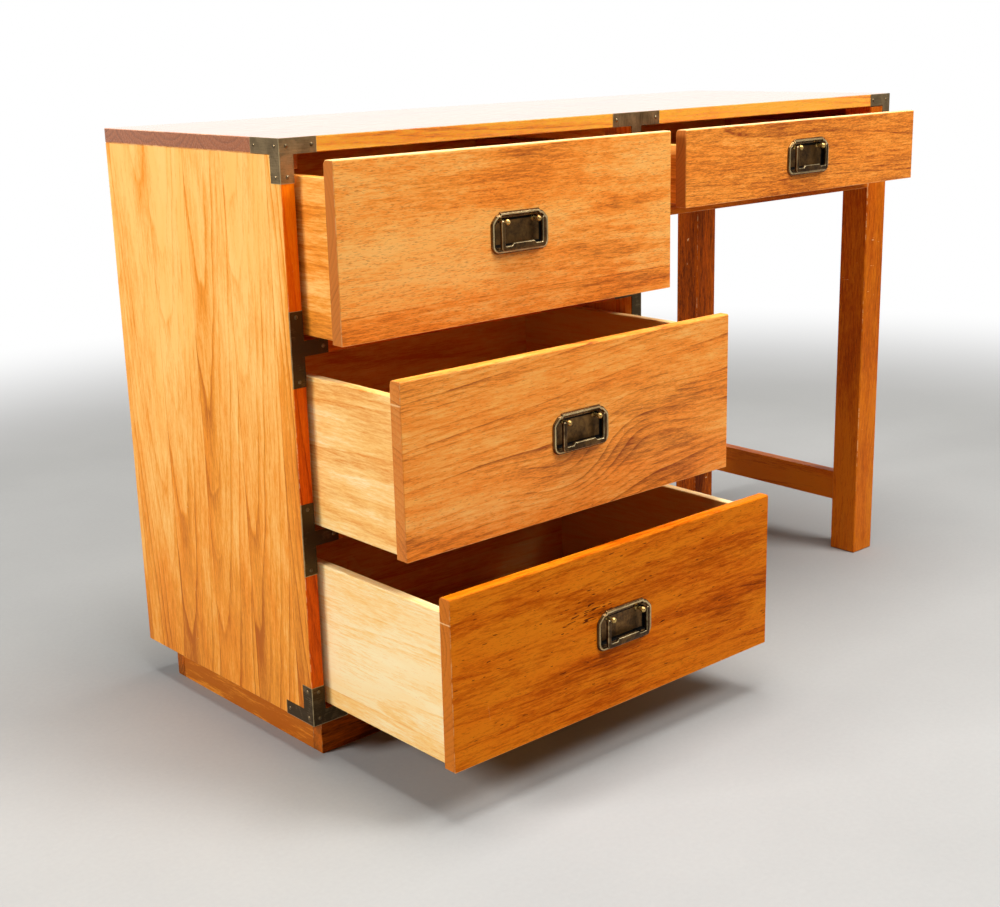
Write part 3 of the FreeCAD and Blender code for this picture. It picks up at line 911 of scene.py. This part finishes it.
def cast_bail(drawer, middle, rubbed_and_highlit):
    """A pull's bail on its two pins."""
    node = drawer + "_bail"
    low, high = corners_of(node)
    outline = both_sides(bail_half((high.x - low.x) / 2, low.z, high.z))
    # The bail's rounded front edges take the rubbed material, worn brass and a painted highlight.
    bail = stacked(outline, bail_layers(low.y, high.y), (0, 1, 1, 0, 0))
    bmesh.ops.translate(bail, vec=(middle.x, 0, 0), verts=bail.verts)
    axis = Vector((middle.x, (low.y + high.y) / 2, high.z - 2.5 * MM))
    radius, length = 1.3 * MM, 8 * MM
    pin = [(0, 0), (radius, 0), (radius, length), (0, length)]
    pins = [
        lathe(pin, axis + Vector((side * 24 * MM, 0, 0)), (side, 0, 0), steps=16) for side in (-1, 1)
    ]
    metal = brass_material("Brass_" + node, FINE, 0.7, tones=("bronze", "umber"), rough=0.26)
    body = drawer.split("_")[0] + "_bail"
    piece = new_piece(drawer + "_cast_bail", joined([bail] + pins), metal, body, SMOOTH)
    piece.data.materials.append(rubbed_and_highlit)
    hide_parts(node)


def hex_nut(place):
    """A six-sided nut with bevelled rims, its axis along Y."""
    radius, thick = 4.6 * MM, 3.2 * MM
    nut = bmesh.new()
    bmesh.ops.create_cone(nut, cap_ends=True, segments=6, radius1=radius, radius2=radius, depth=thick)
    rims = [edge for edge in nut.edges if abs(edge.verts[0].co.z - edge.verts[1].co.z) < 1e-6]
    bmesh.ops.bevel(nut, geom=rims, offset=0.4 * MM, segments=1, affect="EDGES", profile=0.5, material=-1)
    turn = Matrix.Rotation(math.radians(90), 4, "X")
    bmesh.ops.transform(nut, matrix=Matrix.Translation(place) @ turn, verts=nut.verts)
    return nut


def post_profile(ball, head, depth):
    """Radii and depths of a post: a ball, a waist, a flange on the pan's floor and the shank behind it."""
    turns = [math.pi * k / 14 for k in range(12)]
    floor = head + 11.0 * MM
    shank = 2.0 * MM
    flange = 3.4 * MM
    return [(ball * math.sin(turn), head - ball * math.cos(turn)) for turn in turns] + [
        (shank, floor - 2.2 * MM),
        (2.8 * MM, floor - 1.2 * MM),
        (flange, floor - 0.3 * MM),
        (flange, floor),
        (shank, floor),
        (shank, depth - 0.4 * MM),
        (1.6 * MM, depth),
        (0, depth),
    ]


# Steps


class DeskOperator:
    """What every step of the desk's dressing shares."""

    bl_options = {"REGISTER", "UNDO"}


class DESK_OT_mix_finishes(DeskOperator, bpy.types.Operator):
    """Build the shader groups that the wood and brass share"""

    bl_idname = "desk.mix_finishes"
    bl_label = "Mix finishes"

    def execute(self, context):
        build_growth_rings()
        build_swirl()
        build_staves()
        build_streaks_and_pores()
        build_worn_edges()
        build_end_grain()
        build_knocks()
        build_tarnish()
        return {"FINISHED"}


class DESK_OT_finish_case(DeskOperator, bpy.types.Operator):
    """Stain and lacquer the boards of the case"""

    bl_idname = "desk.finish_case"
    bl_label = "Finish case"

    def execute(self, context):
        # The desktop's upper face takes a tint of painted shade; its front edge takes the gold tint.
        finish_board(
            "desktop", "X", "front", (0.05, 0.0), 0.3, ring=8 * MM, taper=0.03, staves=0.1, stave_from=-0.1,
            gloss=0.26, shine=0.5, coat=1.0, end=1.0, late=0.5, base=-0.3, patchy=0.1, warm=0.1,
            tints=((FRONT, "gold"), (UP, "painted_top_shade")),
        )
        # The side panels' front faces are redder strips, darkened with painted shade.
        for node, heart, shift, ring, taper, edge_show in (
            ("side_panel_left", 0.026, 0.4, -8 * MM, -0.075, 0.4),
            ("side_panel_inner", -0.03, 0.7, -9 * MM, -0.09, 0.3),
        ):
            # fade paints shade on the lower part of each side panel.
            finish_board(
                node, "Z", "case", (heart, 0.0), shift, ring=ring, taper=taper, edge_show=edge_show,
                staves=0.09, stave_from=-0.043, pores=0.1, streak=0.2, fine=0.25, late=0.7, sharp=3.0,
                shine=0.1, patchy=0.55, ripple=0.9, fade=0.4, cloud=0.4, base=-0.13,
                tints=((FRONT, "lipping_and_shade"),),
            )
        finish_board("pedestal_back", "Z", "bare", (0.06, 0.4), 0.4, ring=9 * MM, wander=0.08, streak=0.3)
        finish_board("bottom_panel", "X", "deep", (-0.09, 0.05), 1.1, shine=0.1)
        for k, node in enumerate(("rail_lower", "rail_upper", "knee_rail")):
            finish_board(node, "X", "deep", (0.06, 0.03), 2.0 + k, shine=0.1)
        # Painted shade: base 0.6 darkens the plinth's front and back for the shade under the drawers.
        for k, node in enumerate(("plinth_front", "plinth_back")):
            finish_board(
                node, "X", "deep", (0.03, 0.07), 3.0 + k, shine=0.05, base=0.6, streak=0.8, late=0.7,
                end=0.4, end_tint="end_orange",
            )
        # Partly dark wood and partly painted shade: base 0.75 darkens the plinth sides, which sit in the
        # shade of the side panels.
        for k, node in enumerate(("plinth_left", "plinth_right")):
            finish_board(
                node, "Y", "case", (0.07, 0.03), 4.0 + k, shine=0.05, base=0.75, streak=0.8, late=0.7
            )
        # Painted shade: the back leg's base is 0.5 higher than the front leg's, standing for light it misses.
        for k, node in enumerate(("leg_front", "leg_back")):
            finish_board(
                node, "Z", "deep", (0.05, 0.06), 5.0 + k, base=0.5 * k - 0.2, ring=4 * MM, edge=1.4 * MM,
                shine=0.1, streak=0.25, fine=0.35, late=0.25, grit=0.35, knocks=0.9, edge_show=0.6,
            )
        finish_board("stretcher", "Y", "deep", (0.05, 0.04), 6.3, base=-0.35, shine=0.1)
        finish_board("apron_side", "Y", "deep", (0.05, 0.04), 7.1, shine=0.1)
        finish_board("apron_back", "X", "deep", (0.05, 0.04), 7.9, shine=0.1)
        for k, node in enumerate(("top_cleats", "drawer_runners", "knee_runners")):
            finish_board(node, "Y", "bare", (0.05, 0.04), 8.0 + k, base=0.2, edge_show=0.0)
        return {"FINISHED"}


class DESK_OT_finish_drawers(DeskOperator, bpy.types.Operator):
    """Stain the drawer fronts and leave the drawer boxes bare"""

    bl_idname = "desk.finish_drawers"
    bl_label = "Finish drawers"

    def execute(self, context):
        fronts = {
            "top_drawer": Board(
                "X", "front", (0.03, 0.12), 0.2, taper=0.02, late=0.25, pores=1.1, streak=0.25, base=-0.17,
                band=(30 * MM, 0.25), warm=0.65,
                stains=(((0.085, 0.0, 0.0), 0.05, 0.4), ((-0.02, 0.0, -0.17), 0.05, 0.5)),
            ),
            "middle_drawer": Board(
                "X", "front", (-0.13, 0.05), 1.3, taper=0.09, ring=7 * MM, late=0.65, sharp=3.0,
                scuff_z=27 * MM, pores=0.8, streak=0.22, fine=0.35, cloud=0.45, wander=0.02, base=0.17,
                warm=0.7, swirls=(((-0.055, 0.0, 0.02), 0.045, 3.4), ((0.0, 0.0, -0.11), 0.05, -3.2)),
                stains=(((-0.01, 0.0, 0.08), 0.025, 0.4),),
            ),
            "bottom_drawer": Board(
                "X", "deep", (0.05, 0.09), 2.6, taper=0.06, sharp=3.0, streak=0.38, fine=0.5,
                scuff_z=30 * MM, pores=0.9, shine=0.03, base=-0.13, band=(25 * MM, -0.05),
                stains=(((0.0, 0.0, -0.13), 0.045, 0.45), ((0.02, 0.0, 0.03), 0.04, 0.3)),
                pits=((0.03, 0.0, 0.062), 0.024),
            ),
            "knee_drawer": Board(
                "X", "front", (0.05, 0.06), 3.9, taper=0.015, ring=5 * MM, late=0.5, sharp=4.0, patchy=0.3,
                ripple=0.3, pores=1.0, base=0.34, streak=0.15, fine=0.35, grit=0.35, knocks=0.6,
            ),
        }
        side_base = {"top_drawer": 0.05, "middle_drawer": 0.02, "bottom_drawer": -0.32, "knee_drawer": 0.1}
        for k, drawer in enumerate(DRAWERS):
            upper = drawer in ("top_drawer", "knee_drawer")
            lowest = drawer == "bottom_drawer"
            # The upper fronts get a painted highlight on their upward faces.
            front = dataclasses.replace(
                fronts[drawer],
                top_highlight=0.8 if upper else 0.0,
                end=1.0 if upper else 0.7,
                end_tint="end_orange",
            )
            dress(drawer + "_front", board_material(drawer + "_front", front))
            # The inner faces of the sides, back and bottom take the tint of painted shade on the drawers'
            # insides.
            for part, inward, heart in (("_side_left", 1, 0.07), ("_side_right", -1, -0.07)):
                finish_board(
                    drawer + part, "Y", "case" if upper else "bare", (heart, 0.05), 0.5 + k + 4 * inward,
                    ring=7 * MM, taper=0.03, late=0.35, streak=0.25 if lowest else 0.55, streak_size=0.8,
                    fine=0.35, pores=0.3, base=side_base[drawer], tints=(((inward, 0, 0), "inside"),),
                    band=(22 * MM, 0.4) if lowest else (),
                )
            finish_board(
                drawer + "_back", "X", "bare", (0.05, 0.06), 8.5 + k, base=0.15,
                swirls=(((0.02, 0.0, 0.15), 0.012, 5.0),), tints=((FRONT, "inside"),),
            )
            finish_board(
                drawer + "_bottom", "X", "bare", (0.3, 0.3), 12.5 + k, base=0.2, shine=0.15,
                tints=((UP, "inside"),),
            )
        return {"FINISHED"}


class DESK_OT_finish_brass(DeskOperator, bpy.types.Operator):
    """Tarnish the brackets"""

    bl_idname = "desk.finish_brass"
    bl_label = "Finish brass"

    def execute(self, context):
        # Painted shade: the lower brackets and the rail tees are darker, the top corners lighter, for the
        # shade or light each sits in.
        for node, brush, tarnish_and_shade in (
            ("corner_top_left", BRUSHED_UP, 0.2),
            ("corner_top_right", BRUSHED_UP, 0.2),
            ("corner_bottom_left", BRUSHED_UP, 0.85),
            ("corner_bottom_right", BRUSHED_UP, 0.85),
            ("rail_tees", BRUSHED_UP, 1.0),
            ("tee_top", BRUSHED_ALONG, 0.4),
        ):
            dress(node, brass_material("Brass_" + node, brush, tarnish_and_shade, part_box(node)))
        return {"FINISHED"}


class DESK_OT_drive_nails(DeskOperator, bpy.types.Operator):
    """Drive the round-headed nails through the brackets"""

    bl_idname = "desk.drive_nails"
    bl_label = "Drive nails"

    def execute(self, context):
        brass = context.scene.desk.brass
        heads = [nail_head(brass.nail_radius, brass.nail_rise, place, out) for place, out in nail_spots()]
        material = brass_material("Brass_nails", (400.0, 400.0, 400.0), 0.5, rough=0.2)
        nails = new_piece("Bracket_Nails", joined(heads), material, "case", SMOOTH)
        return {"FINISHED"}


class DESK_OT_cast_pulls(DeskOperator, bpy.types.Operator):
    """Cast the plates and bails of the pulls with their rounded rims and edges"""

    bl_idname = "desk.cast_pulls"
    bl_label = "Cast pulls"

    def execute(self, context):
        bead = brass_material("Brass_beads", EVEN, 0.5, tones=("bronze", "umber"), rough=0.16)
        # The bead's crest is rubbed brass and also a painted highlight.
        crest_wear_and_highlight = brass_material("Brass_crests_worn_and_highlit", EVEN, 0.15, tones=("rubbed_and_highlit", "bronze"))
        # Painted shade in the pans' corners, as a near black material.
        painted_corner_shade = brass_material("Brass_painted_shade_in_corners", FINE, 0.9, tones=("umber", "corner_shade_black"), rough=0.5)
        # Worn brass with a painted highlight, for the bails' front edges.
        rubbed_and_highlit = brass_material("Brass_edges_rubbed_and_highlit", FINE, 0.45, tones=("rubbed_and_highlit", "umber"), rough=0.24)
        for drawer in DRAWERS:
            face_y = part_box(drawer + "_front")[0][1]
            middle = cast_plate(drawer, face_y, (bead, painted_corner_shade, crest_wear_and_highlight))
            cast_bail(drawer, middle, rubbed_and_highlit)
        return {"FINISHED"}


class DESK_OT_turn_posts(DeskOperator, bpy.types.Operator):
    """Turn the ball-headed posts of the pulls, with their bolts and nuts"""

    bl_idname = "desk.turn_posts"
    bl_label = "Turn posts"

    def execute(self, context):
        head = 3.8 * MM  # the ball's middle, from the front and the sides of the pair's box
        nut_in = 2.6 * MM  # the nut's middle, from the posts' back ends
        for drawer in DRAWERS:
            low, high = corners_of(drawer + "_pull_posts")
            profile = post_profile(context.scene.desk.brass.ball_radius, head, high.y - low.y)
            axis_z = (low.z + high.z) / 2
            parts = []
            for x in (low.x + head, high.x - head):
                parts.append(lathe(profile, Vector((x, low.y, axis_z)), (0, 1, 0), steps=28))
                parts.append(hex_nut(Vector((x, high.y - nut_in, axis_z))))
            name = "Brass_" + drawer + "_posts"
            material = brass_material(name, FINE, 0.3, tones=("ball", "bronze"), rough=0.2)
            posts = new_piece(drawer + "_turned_posts", joined(parts), material, drawer, math.radians(40))
            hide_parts(drawer + "_pull_posts")
        return {"FINISHED"}


class DESK_OT_set_stage(DeskOperator, bpy.types.Operator):
    """Lay the floor, place the camera and hang the lamps"""

    bl_idname = "desk.set_stage"
    bl_label = "Set stage"

    def execute(self, context):
        stage = context.scene.desk.stage
        lay_floor(stage)
        place_camera(stage)
        light_backdrop()
        hang_lamp("Lamp_key", (-3.2, 0.7, 1.9), (-0.5, 0.0, 0.45), 0.9, 82)
        hang_lamp("Lamp_front", (1.2, -2.2, 3.0), (0.0, -0.2, 0.4), 1.3, 98)
        hang_lamp("Lamp_ceiling", (-0.1, -0.3, 3.5), (-0.1, -0.3, 0.0), 1.8, 145)
        context.scene.view_settings.view_transform = "Standard"
        return {"FINISHED"}


def lay_floor(stage):
    """A round plain floor that fades into the white background."""
    material, w, shader = start_material("Plain_floor")
    spot = w.wired(w.add("TexCoord"))["Object"]
    shade = w.noise(spot, 3.0, 5.0, 0.6) * 0.5 + w.noise(spot, 160.0, 2.0, 0.6) * 0.3
    dark, pale = (tuple(min(1, c * share) for c in stage.floor) for share in (0.82, 1.1))
    w.fill(shader.inputs, Base_Color=w.mix(shade, dark, pale), Roughness=0.75)
    far = w.span(w.vector("LENGTH", spot), 1.4, 2.8)
    fade = far * w.wired(w.add("LightPath"))["Is Camera Ray"]
    glow = w.through(w.add("Emission"))
    both = w.through(w.add("MixShader"), fade, w.through(shader), glow)
    w.fill(w.tree.nodes["Material Output"].inputs, Surface=both)
    bm = bmesh.new()
    bmesh.ops.create_circle(bm, cap_ends=True, segments=96, radius=9.0)
    add_mesh("Stage_Floor", bm, material)


def place_camera(stage):
    camera = bpy.data.cameras.new("Stage_Camera")
    camera.sensor_fit = "HORIZONTAL"
    camera.sensor_width = 36.0
    camera.lens = stage.lens
    camera.clip_start = 0.05
    eye = add_object("Stage_Camera", camera)
    pan, tilt, roll = stage.turn
    spin = Matrix.Rotation(pan, 4, "Z") @ Matrix.Rotation(tilt, 4, "X") @ Matrix.Rotation(roll, 4, "Z")
    eye.matrix_world = Matrix.Translation(stage.eye) @ spin
    bpy.context.scene.camera = eye


def light_backdrop():
    """Dim light from all round; seen as plain white, with a white wall behind the desk for reflections."""
    world = bpy.data.worlds.new("Stage_World")
    bpy.context.scene.world = world
    world.use_nodes = True
    world.node_tree.nodes.clear()
    w = Wires(world.node_tree)
    path = w.wired(w.add("LightPath"))
    direction = w.wired(w.add("TexCoord"))["Generated"]
    behind = w.vector("DOT_PRODUCT", direction, (0.66, 0.75, 0.0))
    mirrored = w.span(behind, 0.25, 0.7) * 0.68 + 0.32
    strength = w.blend_values(path["Is Glossy Ray"], 0.08, mirrored)
    seen = w.math("MAXIMUM", path["Is Camera Ray"], path["Is Transmission Ray"])
    background = w.add("Background")
    w.fill(background.inputs, Color=(1.0, 1.0, 1.0), Strength=w.blend_values(seen, strength, 1.0))
    w.wired(w.add("OutputWorld"), Surface=w.through(background))


def hang_lamp(name, place, target, size, power):
    lamp = bpy.data.lights.new(name, "AREA")
    lamp.shape = "SQUARE"
    lamp.size = size
    lamp.energy = power
    aim = (Vector(target) - Vector(place)).to_track_quat("-Z", "Y").to_matrix().to_4x4()
    add_object(name, lamp).matrix_world = Matrix.Translation(place) @ aim


STEPS = (
    DESK_OT_mix_finishes,
    DESK_OT_finish_case,
    DESK_OT_finish_drawers,
    DESK_OT_finish_brass,
    DESK_OT_drive_nails,
    DESK_OT_cast_pulls,
    DESK_OT_turn_posts,
    DESK_OT_set_stage,
)


class DESK_PT_panel(bpy.types.Panel):
    """Lists the steps and settings of the desk"""

    bl_idname = "DESK_PT_panel"
    bl_label = "Campaign Desk"
    bl_space_type = "VIEW_3D"
    bl_region_type = "UI"
    bl_category = "Desk"

    def draw(self, context):
        for step in STEPS:
            self.layout.operator(step.bl_idname)
        settings = context.scene.desk
        for part in (settings.wood, settings.brass, settings.stage):
            box = self.layout.box()
            for key in part.__annotations__:
                box.prop(part, key)


CLASSES = (DESK_PG_wood, DESK_PG_brass, DESK_PG_stage, DESK_PG_settings, *STEPS, DESK_PT_panel)


def register():
    for item in CLASSES:
        bpy.utils.register_class(item)
    bpy.types.Scene.desk = bpy.props.PointerProperty(type=DESK_PG_settings)


def unregister():
    del bpy.types.Scene.desk
    for item in reversed(CLASSES):
        bpy.utils.unregister_class(item)


def main():
    register()
    for step in STEPS:
        group, name = step.bl_idname.split(".")
        getattr(getattr(bpy.ops, group), name)()
    bpy.context.view_layer.update()


if __name__ == "__main__":
    main()
